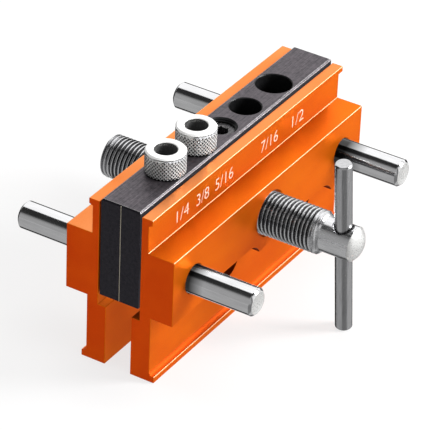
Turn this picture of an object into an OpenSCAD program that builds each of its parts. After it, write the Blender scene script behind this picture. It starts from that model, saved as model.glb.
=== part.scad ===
// Self centering doweling jig: a drilled guide block between two jaws that one
// left and right handed lead screw moves in step. +Z is up, +X runs along the
// block, and -Y is the side of the turning bar. The origin lies in the middle of
// the block's underside, which is the stop face that rests on the work.

/* [Guide block] */
// Length of the block and of both jaws
block_l = 120; // [112:1:160]
// Width of the block across the centre plane
block_w = 15; // [15:0.5:24]
// Height of the block from its stop face to its top
block_h = 37; // [34:0.5:60]
// Chamfer round the top edges of the block
block_chamfer = 0.5; // [0.3:0.1:1.5]
// Distance of the two outer guide holes from the middle
outer_hole_x = 34; // [32:0.2:34.5]
// Distance of the two inner guide holes from the middle
inner_hole_x = 15.6; // [15:0.2:17]
// Diameter of the plain 7/16 inch guide hole
inner_plain_d = 11.11; // [8:0.01:12]
// Diameter of the plain 1/2 inch guide hole
outer_plain_d = 12.7; // [8:0.01:13]
// Chamfer at the rim of the plain guide holes
hole_chamfer = 0.3; // [0.1:0.1:0.5]
// Width of the centre line cut in both end faces
scribe_w = 0.4; // [0.2:0.1:1]
// Depth of the centre line
scribe_depth = 0.2; // [0.1:0.05:0.6]

/* [Jaws] */
// Gap between the block and each jaw as the jig lies at rest
jaw_gap = 0.6; // [0.6:0.1:10]
// Step from the top of the block down to the top of the jaws
jaw_drop = 1.4; // [0:0.1:4]
// Thickness of the upper web of a jaw
upper_web_t = 2.7; // [2:0.1:5]
// Overhang of the lip along the top of a jaw
lip_out = 1.4; // [0.6:0.1:3]
// Height of the lip's upright face
lip_h = 2; // [1:0.1:4]
// Height of the lip's sloped underside
lip_slope_h = 0.6; // [0.4:0.1:2]
// Thickness of the carrier, the thick part that holds the bores
carrier_t = 12.6; // [9:0.1:18]
// Height of the carrier above the axes of rods and screw
carrier_above = 12.5; // [10:0.1:16]
// Height of the carrier below the axes of rods and screw
carrier_below = 12.2; // [9:0.1:13.5]
// Depth of the clear space below the stop face, down to the clamping faces
relief_h = 4.2; // [3:0.1:8]
// How far each clamping face stands in from the jaw's inner face
clamp_in = 3.1; // [1:0.1:5]
// Thickness of the lower web of a jaw
lower_web_t = 7.4; // [5:0.1:10]
// Depth of the jaws below the stop face
jaw_depth = 26.9; // [20:0.1:50]
// How far the foot stands out from the lower web
foot_out = 1.85; // [0.8:0.05:4]
// Height of the foot's sloped face
foot_slope_h = 1.6; // [1:0.1:5]
// Height of the foot's upright edge
foot_edge_h = 2.3; // [0.6:0.1:3]
// Small break on every long edge of a jaw
edge_break = 0.25; // [0.1:0.05:0.4]

/* [Windows in the jaws] */
// Height of the round ended windows
window_h = 14.5; // [8:0.1:16]
// Drop from the axes of rods and screw to the middle of a window
window_drop = 15.25; // [15:0.05:18]
// Distance along the jaw from a rod or screw axis to the end of a window
window_margin = 5.25; // [5:0.05:10]

/* [Guide rods] */
// Diameter of the two guide rods
rod_d = 9.8; // [6:0.1:10]
// Length of the guide rods
rod_l = 91; // [70:1:140]
// How far the rods reach out further behind than in front
rod_lead = 1; // [0:0.1:4]
// Height of the axes of rods and screw above the stop face
axis_z = 10.2; // [9.5:0.1:13]
// Distance from the end of the block to a rod's axis
rod_inset = 12.5; // [8:0.5:13]
// Chamfer at the ends of the rods
rod_chamfer = 0.9; // [0.3:0.1:2]

/* [Lead screw] */
// Diameter over the crests of the lead screw
screw_d = 15.3; // [10:0.1:16]
// Pitch of the lead screw, right handed in front and left handed behind
screw_pitch = 1.5; // [1:0.25:2.5]
// Depth of the lead screw's thread
screw_thread_depth = 0.85; // [0.4:0.05:1.2]
// Distance from the centre plane to the end of the front thread
front_reach = 42.4; // [36:0.1:60]
// Distance from the centre plane to the end of the rear thread
rear_reach = 42.7; // [36:0.1:60]
// Diameter of the plain shank that carries the turning bar
shank_d = 12.2; // [9:0.1:13]
// Length of the shank's straight part
shank_l = 11.1; // [10:0.1:20]
// Height of the rounded tip of the shank
dome_h = 2.6; // [1:0.1:5]
// Width of the groove at the middle of the screw
groove_w = 4.2; // [3.6:0.1:6]
// Depth of the groove at the middle of the screw
groove_depth = 1.85; // [1:0.05:3]

/* [Turning bar] */
// Diameter of the turning bar
bar_d = 6; // [4:0.1:7]
// Length of the turning bar
bar_l = 69; // [40:1:100]
// Distance from the end of the front thread to the bar's axis
bar_from_thread = 6.6; // [4.5:0.1:7.5]
// How far the bar's middle lies below the screw's axis
bar_shift = 2.6; // [0:0.1:6]
// Turn of the bar about the screw at rest, in degrees
bar_turn = 6.5; // [0:0.5:45]
// Chamfer at the ends of the turning bar
bar_chamfer = 0.5; // [0.2:0.1:1.2]

/* [Guide bushings] */
// Bore of both bushings, for a 5/16 inch drill
bushing_bore_d = 7.94; // [4:0.01:9]
// Diameter of the knurled collar
collar_d = 13.9; // [13:0.1:15]
// Height of the knurled collar
collar_h = 8.3; // [4:0.1:12]
// Chamfer at the top of the collar
collar_chamfer = 0.9; // [0.3:0.1:1.5]
// Diameter over the thread of a bushing
bushing_thread_d = 12; // [11.6:0.1:12.6]
// Pitch of the bushing thread
bushing_pitch = 1.5; // [1:0.25:2]
// Depth of the bushing thread
bushing_thread_depth = 0.6; // [0.3:0.05:0.8]
// Length of a bushing below its collar
bushing_l = 19.5; // [12:0.5:24]
// Diameter of the clear hole below a bushing
clear_hole_d = 10.2; // [9.6:0.1:11]

/* [Set screws] */
// Diameter of the screw that keeps the lead screw in the block
keeper_d = 10; // [8:0.1:10.4]
// How far that screw lies below the top of the block
keeper_sunk = 1.6; // [1:0.1:6]
// Diameter of its plain tip, which stands in the lead screw's groove
keeper_tip_d = 3.4; // [2:0.1:3.4]
// Width across the flats of its hexagon socket
keeper_socket = 5; // [3:0.1:5.5]
// Diameter of the set screws that hold the guide rods
rod_screw_d = 5; // [3:0.1:6]
// Width across the flats of their hexagon sockets
rod_screw_socket = 2.5; // [1.5:0.1:3]
// Pitch of the set screw threads
set_screw_pitch = 1; // [0.5:0.1:1.5]
// Depth of the set screw threads
set_screw_thread_depth = 0.45; // [0.2:0.05:0.6]

/* [Fits] */
// Gap round a rod in a jaw, on the radius
rod_slide_gap = 0.05; // [0.02:0.01:0.2]
// Gap round the lead screw in jaws and block, on the radius
screw_gap = 0.06; // [0.02:0.01:0.2]
// Gap round parts that are held fast, on the radius
fixed_gap = 0.02; // [0.01:0.01:0.05]
// Gap between a thread and the threaded hole that it fills, on the radius
thread_gap = 0.05; // [0.02:0.01:0.2]
// Gap left at the seats of tips and ends
end_gap = 0.2; // [0.1:0.05:0.4]
// Countersink at the mouth of a rod bore
rod_mouth = 0.4; // [0.1:0.1:1]
// Countersink at the mouth of the screw bore
screw_mouth = 0.8; // [0.2:0.1:1.5]

/* [Hidden] */
$fn = 96;

// Overrun of every cut past the face that it opens
over = 1;
rod_x = block_l / 2 - rod_inset;
rod_r = rod_d / 2;
screw_r = screw_d / 2;
screw_bore_r = screw_r + screw_gap;
jaw_inner_y = block_w / 2 + jaw_gap;
jaw_top_z = block_h - jaw_drop;
carrier_top_z = axis_z + carrier_above;
carrier_bottom_z = axis_z - carrier_below;
clamp_y = jaw_inner_y - clamp_in;
lower_web_y = clamp_y + lower_web_t;
window_x = rod_x / 2;
window_l = rod_x - 2 * window_margin;
window_z = axis_z - window_drop;
bar_y = front_reach + bar_from_thread;
// Depth of a hexagon socket, as a share of its width across the flats
socket_depth_share = 1.1;
// Flat at the crest and at the root of a thread, as a share of its pitch
thread_flat_share = 0.12;
bushing_x = [-outer_hole_x, -inner_hole_x];
groove_r = screw_r - groove_depth;
keeper_top_z = block_h - keeper_sunk;
keeper_tip_z = axis_z + groove_r + end_gap;
keeper_body_z = axis_z + screw_bore_r + end_gap;
rod_screw_top_z = axis_z - rod_r - fixed_gap;
rod_screw_bottom_z = end_gap;

// Outline with each corner of pts cut back by size along both of its sides
function broken(pts, size) = [
    for (i = [0:len(pts) - 1])
        let (p = pts[i],
             a = pts[(i + len(pts) - 1) % len(pts)],
             b = pts[(i + 1) % len(pts)])
        each [p + size * (a - p) / norm(a - p), p + size * (b - p) / norm(b - p)]
];

// Half outline of a ridged shaft from height 0 to length, between root and crest
function ridges(crest, root, pitch, length) =
    let (count = max(1, floor(length / pitch)),
         step = length / count,
         flat = step * thread_flat_share)
    [for (i = [0:count - 1])
        each [[root, i * step], [root, i * step + flat],
              [crest, (i + 0.5) * step - flat / 2], [crest, (i + 0.5) * step + flat / 2],
              [root, (i + 1) * step - flat]]];

// Solid ridged shaft along +Z
module ridged_shaft(crest, root, pitch, length) {
    rotate_extrude()
        polygon(concat([[0, 0]], ridges(crest, root, pitch, length), [[root, length], [0, length]]));
}

// Cylinder along +Z with both ends chamfered
module pin(r, length, chamfer) {
    rotate_extrude()
        polygon([[0, 0], [r - chamfer, 0], [r, chamfer], [r, length - chamfer],
                 [r - chamfer, length], [0, length]]);
}

// Cut for a hole along +Z from 0 to length, with a chamfer at its upper mouth
module hole(r, length, chamfer) {
    rotate_extrude()
        polygon([[0, -over], [r, -over], [r, length - chamfer], [r + chamfer, length],
                 [r + chamfer, length + over], [0, length + over]]);
}

// Places its children along the screw direction, +Z turned to -Y, at height axis_z
module along_screw(x = 0) {
    translate([x, 0, axis_z])
        rotate([90, 0, 0])
            children();
}

// The block's outline seen from its end, chamfered along the top
function block_outline(width) = [
    [-width / 2, 0], [width / 2, 0],
    [width / 2, block_h - block_chamfer], [width / 2 - block_chamfer, block_h],
    [-width / 2 + block_chamfer, block_h], [-width / 2, block_h - block_chamfer]
];

module block_body() {
    intersection() {
        rotate([90, 0, 90])
            linear_extrude(block_l, center = true)
                polygon(block_outline(block_w));
        rotate([90, 0, 0])
            linear_extrude(block_w, center = true)
                polygon(block_outline(block_l));
    }
}

module bushing_hole(x) {
    seat_z = block_h - bushing_l - end_gap;
    translate([x, 0, 0])
        hole(clear_hole_d / 2, seat_z, 0);
    translate([x, 0, seat_z])
        ridged_shaft(bushing_thread_d / 2 + thread_gap + bushing_thread_depth,
                     bushing_thread_d / 2 + thread_gap, bushing_pitch, bushing_l + end_gap + over);
}

module guide_block() {
    color([0.16, 0.16, 0.18])
        difference() {
            block_body();
            for (x = bushing_x)
                bushing_hole(x);
            translate([inner_hole_x, 0, 0])
                hole(inner_plain_d / 2, block_h, hole_chamfer);
            translate([outer_hole_x, 0, 0])
                hole(outer_plain_d / 2, block_h, hole_chamfer);
            translate([0, 0, axis_z])
                hole(keeper_d / 2 + fixed_gap, block_h - axis_z, hole_chamfer);
            for (x = [-rod_x, rod_x]) {
                along_screw(x)
                    cylinder(r = rod_r + fixed_gap, h = block_w + 2 * over, center = true);
                translate([x, 0, -over])
                    cylinder(r = rod_screw_d / 2 + fixed_gap, h = axis_z + over);
            }
            along_screw()
                cylinder(r = screw_bore_r, h = block_w + 2 * over, center = true);
            for (side = [-1, 1])
                translate([side * block_l / 2, 0, block_h / 2])
                    cube([2 * scribe_depth, scribe_w, block_h + 2 * over], center = true);
        }
}

// Cross section of a jaw, x pointing away from the block and y up
function jaw_outline() = broken([
    [clamp_y, -jaw_depth],
    [lower_web_y + foot_out, -jaw_depth],
    [lower_web_y + foot_out, -jaw_depth + foot_edge_h],
    [lower_web_y, -jaw_depth + foot_edge_h + foot_slope_h],
    [lower_web_y, carrier_bottom_z],
    [jaw_inner_y + carrier_t, carrier_bottom_z],
    [jaw_inner_y + carrier_t, carrier_top_z],
    [jaw_inner_y + upper_web_t, carrier_top_z],
    [jaw_inner_y + upper_web_t, jaw_top_z - lip_h - lip_slope_h],
    [jaw_inner_y + upper_web_t + lip_out, jaw_top_z - lip_h],
    [jaw_inner_y + upper_web_t + lip_out, jaw_top_z],
    [jaw_inner_y, jaw_top_z],
    [jaw_inner_y, -relief_h],
    [clamp_y, -relief_h]
], edge_break);

// Round ended window through a jaw, its length along X
module window(x) {
    half_run = (window_l - window_h) / 2;
    depth = jaw_inner_y + carrier_t + over;
    translate([x, 0, window_z])
        rotate([90, 0, 0]) {
            for (end = [-1, 1])
                translate([end * half_run, 0, 0])
                    cylinder(d = window_h, h = depth);
            translate([-half_run, -window_h / 2, 0])
                cube([2 * half_run, window_h, depth]);
        }
}

// Bore through the carrier of the front jaw, countersunk at the outer face
module jaw_bore(x, r, mouth) {
    along_screw(x)
        hole(r, jaw_inner_y + carrier_t, mouth);
}

// A jaw as it stands on the -Y side
module jaw() {
    color([0.93, 0.40, 0.12])
        difference() {
            rotate([90, 0, -90])
                linear_extrude(block_l, center = true)
                    polygon(jaw_outline());
            for (side = [-1, 1]) {
                jaw_bore(side * rod_x, rod_r + rod_slide_gap, rod_mouth);
                window(side * window_x);
            }
            jaw_bore(0, screw_bore_r, screw_mouth);
        }
}

module front_jaw() {
    jaw();
}

module rear_jaw() {
    mirror([0, 1, 0])
        jaw();
}

module guide_rod(x) {
    color([0.78, 0.78, 0.80])
        along_screw(x)
            translate([0, 0, -(rod_l + rod_lead) / 2])
                pin(rod_r, rod_l, rod_chamfer);
}

module guide_rod_near() {
    guide_rod(-rod_x);
}

module guide_rod_far() {
    guide_rod(rod_x);
}

// Hexagon socket cut downwards from height 0
module socket(flats, depth) {
    translate([0, 0, -depth])
        cylinder(d = flats / cos(30), h = depth + over, $fn = 6);
}

module rod_set_screws() {
    length = rod_screw_top_z - rod_screw_bottom_z;
    r = rod_screw_d / 2;
    color([0.20, 0.20, 0.22])
        for (x = [-rod_x, rod_x])
            translate([x, 0, rod_screw_top_z])
                mirror([0, 0, 1])
                    difference() {
                        ridged_shaft(r, r - set_screw_thread_depth, set_screw_pitch, length);
                        translate([0, 0, length])
                            socket(rod_screw_socket, rod_screw_socket * socket_depth_share);
                    }
}

module keeper_screw() {
    r = keeper_d / 2;
    color([0.20, 0.20, 0.22])
        difference() {
            union() {
                translate([0, 0, keeper_body_z])
                    ridged_shaft(r, r - set_screw_thread_depth, set_screw_pitch,
                                 keeper_top_z - keeper_body_z);
                translate([0, 0, keeper_tip_z])
                    cylinder(d = keeper_tip_d, h = keeper_body_z - keeper_tip_z + over);
            }
            translate([0, 0, keeper_top_z])
                socket(keeper_socket, keeper_socket * socket_depth_share);
        }
}

// Threaded end of the lead screw from the block's face out to reach
module screw_thread(reach) {
    translate([0, 0, block_w / 2])
        ridged_shaft(screw_r, screw_r - screw_thread_depth, screw_pitch, reach - block_w / 2);
}

module shank() {
    dome_r = (pow(shank_d / 2, 2) + pow(dome_h, 2)) / (2 * dome_h);
    tip = front_reach + shank_l + dome_h;
    translate([0, 0, front_reach - over])
        cylinder(d = shank_d, h = shank_l + over);
    intersection() {
        translate([0, 0, front_reach])
            cylinder(d = shank_d, h = shank_l + dome_h);
        translate([0, 0, tip - dome_r])
            sphere(r = dome_r);
    }
}

// Turning bar's own frame: its middle at 0 and its length along Z
module at_bar() {
    translate([0, -bar_y, axis_z])
        rotate([0, -bar_turn, 0])
            translate([0, 0, -bar_shift])
                children();
}

module lead_screw() {
    color([0.70, 0.70, 0.72])
        difference() {
            along_screw() {
                screw_thread(front_reach);
                mirror([0, 0, 1])
                    screw_thread(rear_reach);
                for (side = [0, 1])
                    mirror([0, 0, side])
                        translate([0, 0, groove_w / 2])
                            cylinder(r = screw_r, h = (block_w - groove_w) / 2);
                cylinder(r = groove_r, h = groove_w + over, center = true);
                shank();
            }
            at_bar()
                cylinder(d = bar_d + 2 * fixed_gap, h = bar_l, center = true);
        }
}

module turning_bar() {
    color([0.62, 0.62, 0.64])
        at_bar()
            translate([0, 0, -bar_l / 2])
                pin(bar_d / 2, bar_l, bar_chamfer);
}

module bushing(x) {
    bore_r = bushing_bore_d / 2;
    color([0.80, 0.80, 0.80])
        translate([x, 0, block_h])
            difference() {
                union() {
                    rotate_extrude()
                        polygon([[0, 0], [collar_d / 2 - hole_chamfer, 0],
                                 [collar_d / 2, hole_chamfer],
                                 [collar_d / 2, collar_h - collar_chamfer],
                                 [collar_d / 2 - collar_chamfer, collar_h], [0, collar_h]]);
                    translate([0, 0, -bushing_l])
                        ridged_shaft(bushing_thread_d / 2,
                                     bushing_thread_d / 2 - bushing_thread_depth,
                                     bushing_pitch, bushing_l);
                }
                translate([0, 0, -bushing_l])
                    hole(bore_r, bushing_l + collar_h, hole_chamfer);
            }
}

module bushing_near() {
    bushing(bushing_x[0]);
}

module bushing_far() {
    bushing(bushing_x[1]);
}

guide_block();
front_jaw();
rear_jaw();
guide_rod_near();
guide_rod_far();
rod_set_screws();
lead_screw();
keeper_screw();
turning_bar();
bushing_near();
bushing_far();
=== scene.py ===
"""Looks of the self centering doweling jig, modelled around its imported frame.

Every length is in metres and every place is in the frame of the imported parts: the
origin in the middle of the guide block's underside, +X along the block, -Y towards
the turning bar and +Z up.
"""

import logging
import math
from contextlib import contextmanager
from dataclasses import dataclass, field
from enum import Enum
from functools import cache
from typing import Callable, Iterator, Sequence

import bmesh
import bpy
from mathutils import Matrix, Vector


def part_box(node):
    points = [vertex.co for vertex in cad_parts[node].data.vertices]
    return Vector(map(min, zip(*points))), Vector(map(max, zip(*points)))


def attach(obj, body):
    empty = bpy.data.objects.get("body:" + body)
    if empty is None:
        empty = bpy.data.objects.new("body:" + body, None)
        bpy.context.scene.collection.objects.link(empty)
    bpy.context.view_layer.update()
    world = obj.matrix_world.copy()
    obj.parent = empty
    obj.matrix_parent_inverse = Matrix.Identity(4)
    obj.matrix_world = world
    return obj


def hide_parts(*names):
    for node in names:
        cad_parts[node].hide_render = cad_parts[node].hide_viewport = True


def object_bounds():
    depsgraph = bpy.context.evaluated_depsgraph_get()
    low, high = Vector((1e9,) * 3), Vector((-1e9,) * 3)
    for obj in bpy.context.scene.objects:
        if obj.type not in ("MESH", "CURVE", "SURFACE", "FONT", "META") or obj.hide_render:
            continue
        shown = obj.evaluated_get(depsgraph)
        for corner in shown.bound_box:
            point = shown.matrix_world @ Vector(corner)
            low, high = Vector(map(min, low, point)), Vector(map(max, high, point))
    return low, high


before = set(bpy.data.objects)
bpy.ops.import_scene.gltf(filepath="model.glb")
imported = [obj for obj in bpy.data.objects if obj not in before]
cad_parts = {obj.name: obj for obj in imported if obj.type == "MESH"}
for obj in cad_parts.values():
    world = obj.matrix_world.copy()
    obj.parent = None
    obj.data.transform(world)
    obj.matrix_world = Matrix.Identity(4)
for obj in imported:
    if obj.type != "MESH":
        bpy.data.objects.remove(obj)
cad_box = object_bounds()

log = logging.getLogger("doweling_jig")

MM = 0.001
TOLERANCE = 0.001 * MM
CUT_THRESHOLD = TOLERANCE / 100
NEAR = 0.01 * MM
TAPER_REACH = 100 * MM
TAPER_OVERRUN = 0.5 * MM
SMOOTH_ANGLE = math.radians(32)
SHARP_ANGLE = math.radians(25)
FLAT_ANGLE = math.radians(0.5)
FACE_WEIGHT = 60
FACING = 0.9
LEANING = 0.3
UPRIGHT = 0.2
ROUND = 96
CUTTER_ROUND = 64
SCREW_ROUND = 48
CORNER_SHARE = math.cos(math.pi / 6)
NOISE_ROUGHNESS = 0.55
THREAD_RISE = (0.0, 0.08, 0.5, 0.94, 1.0, 0.94, 0.5, 0.08, 0.0)
BAR_Y = -49.0 * MM
BAR_TURN = math.radians(6.5)
BAR_SHIFT = 2.6 * MM

Point = tuple[float, float, float]
Colour = tuple[float, float, float]
Steps = Sequence[tuple[float, float]]
Obj = bpy.types.Object
Socket = bpy.types.NodeSocket


class Hand(Enum):
    """The hand of a thread."""

    RIGHT = 1
    LEFT = -1


# Modelling


def deselect() -> None:
    """Leaves no object selected."""
    bpy.ops.object.select_all(action="DESELECT")


def activate(obj: Obj) -> None:
    """Selects one object alone and makes it active.

    Args:
        obj: the object that the next operators act on.
    """
    deselect()
    obj.select_set(True)
    bpy.context.view_layer.objects.active = obj


@contextmanager
def editing(obj: Obj) -> Iterator[bmesh.types.BMesh]:
    """Opens edit mode on one object, with nothing selected.

    Args:
        obj: the object to edit.

    Yields:
        The edit mesh, for picking by place or normal.
    """
    activate(obj)
    bpy.ops.object.mode_set(mode="EDIT")
    bpy.ops.mesh.select_mode(type="VERT")
    bpy.ops.mesh.select_all(action="DESELECT")
    yield bmesh.from_edit_mesh(obj.data)
    bpy.ops.object.mode_set(mode="OBJECT")


def pick(obj: Obj, kind: str, test: Callable[[bmesh.types.BMVert], bool]) -> None:
    """Selects the vertices, edges or faces that pass a test, and nothing else.

    Args:
        obj: the object in edit mode.
        kind: VERT, EDGE or FACE.
        test: says whether an element is picked.
    """
    bpy.ops.mesh.select_mode(type=kind)
    bpy.ops.mesh.select_all(action="DESELECT")
    mesh = bmesh.from_edit_mesh(obj.data)
    mesh.normal_update()
    elements = {"VERT": mesh.verts, "EDGE": mesh.edges, "FACE": mesh.faces}[kind]
    for element in [e for e in elements if test(e)]:
        element.select_set(True)
    mesh.select_flush_mode()
    bmesh.update_edit_mesh(obj.data)


def near(a: float, b: float) -> bool:
    """Says whether two lengths are the same within a hundredth of a millimetre."""
    return abs(a - b) < NEAR


def extrude(shift: Sequence[float]) -> None:
    """Extrudes the selected faces along a shift."""
    bpy.ops.mesh.extrude_region_move(TRANSFORM_OT_translate={"value": tuple(shift)})


def cut(point: Sequence[float], normal: Sequence[float], **options: bool) -> None:
    """Bisects the whole mesh in edit mode.

    Args:
        point: a point on the cutting plane.
        normal: the plane's normal.
        options: bisect's own switches, such as clear_outer and use_fill.
    """
    bpy.ops.mesh.select_mode(type="VERT")
    bpy.ops.mesh.select_all(action="SELECT")
    bpy.ops.mesh.bisect(plane_co=tuple(point), plane_no=tuple(normal),
                        threshold=CUT_THRESHOLD, **options)


def named(name: str) -> Obj:
    """Names the active object and its mesh, and gives it back."""
    obj = bpy.context.active_object
    obj.name = name
    obj.data.name = name
    return obj


def apply_modifier(obj: Obj, kind: str, **settings: object) -> None:
    """Runs one modifier on an object.

    Args:
        obj: the object.
        kind: the modifier's type.
        settings: properties set on it.
    """
    activate(obj)
    modifier = obj.modifiers.new(kind.lower(), kind)
    for key, value in settings.items():
        setattr(modifier, key, value)
    bpy.ops.object.modifier_apply(modifier=modifier.name)


def add_box(name: str, low: Sequence[float], high: Sequence[float]) -> Obj:
    """Adds a box between two corners, its place in its mesh.

    Args:
        name: the new object's name.
        low: the lowest corner.
        high: the highest corner.

    Returns:
        The new object.
    """
    deselect()
    low, high = Vector(low), Vector(high)
    bpy.ops.mesh.primitive_cube_add(size=1, location=(low + high) / 2, scale=high - low)
    obj = named(name)
    bpy.ops.object.transform_apply(location=True, rotation=True, scale=True)
    return obj


def add_turned(name: str, steps: Steps, segments: int = ROUND) -> Obj:
    """Turns a closed solid about Z by extruding and scaling a disc from step to step.

    Args:
        name: the new object's name.
        steps: (height, radius) pairs from the first face to the last.
        segments: how many sides the circle has.

    Returns:
        The new object.
    """
    deselect()
    height, radius = steps[0]
    bpy.ops.mesh.primitive_circle_add(vertices=segments, radius=radius, fill_type="NGON",
                                      location=(0, 0, height))
    obj = named(name)
    bpy.ops.object.transform_apply(location=True)
    with editing(obj):
        bpy.ops.mesh.select_mode(type="FACE")
        bpy.ops.mesh.select_all(action="SELECT")
        for next_height, next_radius in steps[1:]:
            extrude((0, 0, next_height - height))
            scale = next_radius / radius
            bpy.ops.transform.resize(value=(scale, scale, 1), center_override=(0, 0, next_height))
            height, radius = next_height, next_radius
    clean(obj)
    return obj


def both_ends(half: Steps) -> Steps:
    """Gives the steps of a turned solid whose two halves are the same."""
    return [(-z, r) for z, r in reversed(half)] + list(half)


def clean(obj: Obj) -> None:
    """Merges doubled points, drops empty faces and turns every face outwards.

    Args:
        obj: the object whose mesh is cleaned.
    """
    with editing(obj):
        bpy.ops.mesh.select_all(action="SELECT")
        bpy.ops.mesh.remove_doubles(threshold=TOLERANCE)
        bpy.ops.mesh.dissolve_degenerate(threshold=TOLERANCE)
        bpy.ops.mesh.select_all(action="SELECT")
        bpy.ops.mesh.normals_make_consistent(inside=False)


def soften(obj: Obj, radius: float, segments: int = 2, slot: int = -1) -> None:
    """Rounds every sharp edge.

    Args:
        obj: the object to round.
        radius: how far each edge is cut back.
        segments: faces across each round.
        slot: material slot of the rounds, or -1 for their neighbours' slot.
    """
    with editing(obj):
        bpy.ops.mesh.select_mode(type="EDGE")
        bpy.ops.mesh.edges_select_sharp(sharpness=SHARP_ANGLE)
        bpy.ops.mesh.bevel(offset=radius, segments=segments, profile=0.5, affect="EDGES",
                           clamp_overlap=False, material=slot)


def place(obj: Obj, matrix: Matrix) -> Obj:
    """Moves an object's mesh by a matrix and leaves the object itself at the origin.

    Args:
        obj: the object to place.
        matrix: its place in the frame.

    Returns:
        The same object.
    """
    activate(obj)
    obj.matrix_world = matrix
    bpy.ops.object.transform_apply(location=True, rotation=True, scale=True)
    if matrix.determinant() < 0:
        clean(obj)
    return obj


def copy_of(obj: Obj, name: str) -> Obj:
    """Copies an object with a mesh of its own.

    Args:
        obj: the object to copy.
        name: the copy's name.

    Returns:
        The copy.
    """
    activate(obj)
    bpy.ops.object.duplicate()
    return named(name)


def combine(obj: Obj, tool: Obj, operation: str) -> None:
    """Joins a tool solid to an object or cuts it away, and removes the tool.

    Args:
        obj: the object that is kept.
        tool: the solid that is used up.
        operation: UNION, DIFFERENCE or INTERSECT.
    """
    apply_modifier(obj, "BOOLEAN", operation=operation, solver="EXACT", object=tool)
    mesh = tool.data
    bpy.data.objects.remove(tool)
    bpy.data.meshes.remove(mesh)


def finish_surface(obj: Obj) -> None:
    """Gives smooth shading between sharp edges, with flat faces kept flat.

    Args:
        obj: the finished piece.
    """
    clean(obj)
    activate(obj)
    bpy.ops.object.shade_smooth_by_angle(angle=SMOOTH_ANGLE)
    apply_modifier(obj, "WEIGHTED_NORMAL", keep_sharp=True, weight=FACE_WEIGHT)


def add_thread(name: str, crest: float, root: float, pitch: float, span: tuple[float, float],
               hand: Hand = Hand.RIGHT, segments: int = SCREW_ROUND) -> Obj:
    """Cuts a true thread as a closed solid along Z, flat at both ends.

    Args:
        name: the new object's name.
        crest: radius over the thread.
        root: radius at the bottom of the thread.
        pitch: advance in one turn.
        span: lowest and highest height.
        hand: right or left handed.
        segments: sides in one turn.

    Returns:
        The new object.
    """
    low, high = span
    deselect()
    bottom = low - pitch * (1.5 + 0.5 / segments)
    bpy.ops.mesh.primitive_plane_add(size=pitch, rotation=(math.pi / 2, 0, 0),
                                     location=(root - pitch / 2, 0, bottom + pitch / 2))
    obj = named(name)
    bpy.ops.object.transform_apply(location=True, rotation=True)
    with editing(obj):
        pick(obj, "VERT", lambda v: v.co.x < root - pitch / 2)
        bpy.ops.mesh.delete(type="VERT")
        bpy.ops.mesh.select_all(action="SELECT")
        bpy.ops.mesh.subdivide(number_cuts=len(THREAD_RISE) - 2)
        for step, share in enumerate(THREAD_RISE):
            height = bottom + pitch * step / (len(THREAD_RISE) - 1)
            pick(obj, "VERT", lambda v: near(v.co.z, height))
            bpy.ops.transform.translate(value=((crest - root) * share, 0, 0))
    apply_modifier(obj, "SCREW", axis="Z", angle=2 * math.pi, screw_offset=pitch,
                   iterations=math.ceil((high - low) / pitch) + 3, steps=segments, render_steps=segments)
    clean(obj)
    with editing(obj):
        cut((0, 0, high), (0, 0, 1), clear_outer=True, use_fill=True)
        cut((0, 0, low), (0, 0, 1), clear_inner=True, use_fill=True)
    if hand is Hand.LEFT:
        place(obj, Matrix.Diagonal((-1, 1, 1, 1)))
    clean(obj)
    return obj


def taper_end(obj: Obj, height: float, outward: int, radius: float, widest: float) -> None:
    """Turns a chamfer of 45 degrees on one end of a threaded solid along Z.

    Args:
        obj: the threaded solid.
        height: height of the end face.
        outward: 1 for the upper end, -1 for the lower one.
        radius: radius left at the end face.
        widest: radius that clears the crests.
    """
    shift = widest - radius
    outline = add_turned("taper", [(height - outward * TAPER_REACH, widest),
                                   (height - outward * shift, widest),
                                   (height + outward * TAPER_OVERRUN, radius - TAPER_OVERRUN)],
                         CUTTER_ROUND)
    combine(obj, outline, "INTERSECT")
    clean(obj)


# Finishes


def maths(tree: bpy.types.NodeTree, operation: str, *values: Socket | float) -> Socket:
    """Adds a maths node.

    Args:
        tree: the nodes that it joins.
        operation: what the node does.
        values: its inputs, plain numbers or sockets.

    Returns:
        The result.
    """
    node = tree.nodes.new("ShaderNodeMath")
    node.operation = operation
    for socket, value in zip(node.inputs, values):
        if isinstance(value, bpy.types.NodeSocket):
            tree.links.new(value, socket)
        else:
            socket.default_value = value
    return node.outputs[0]


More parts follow.
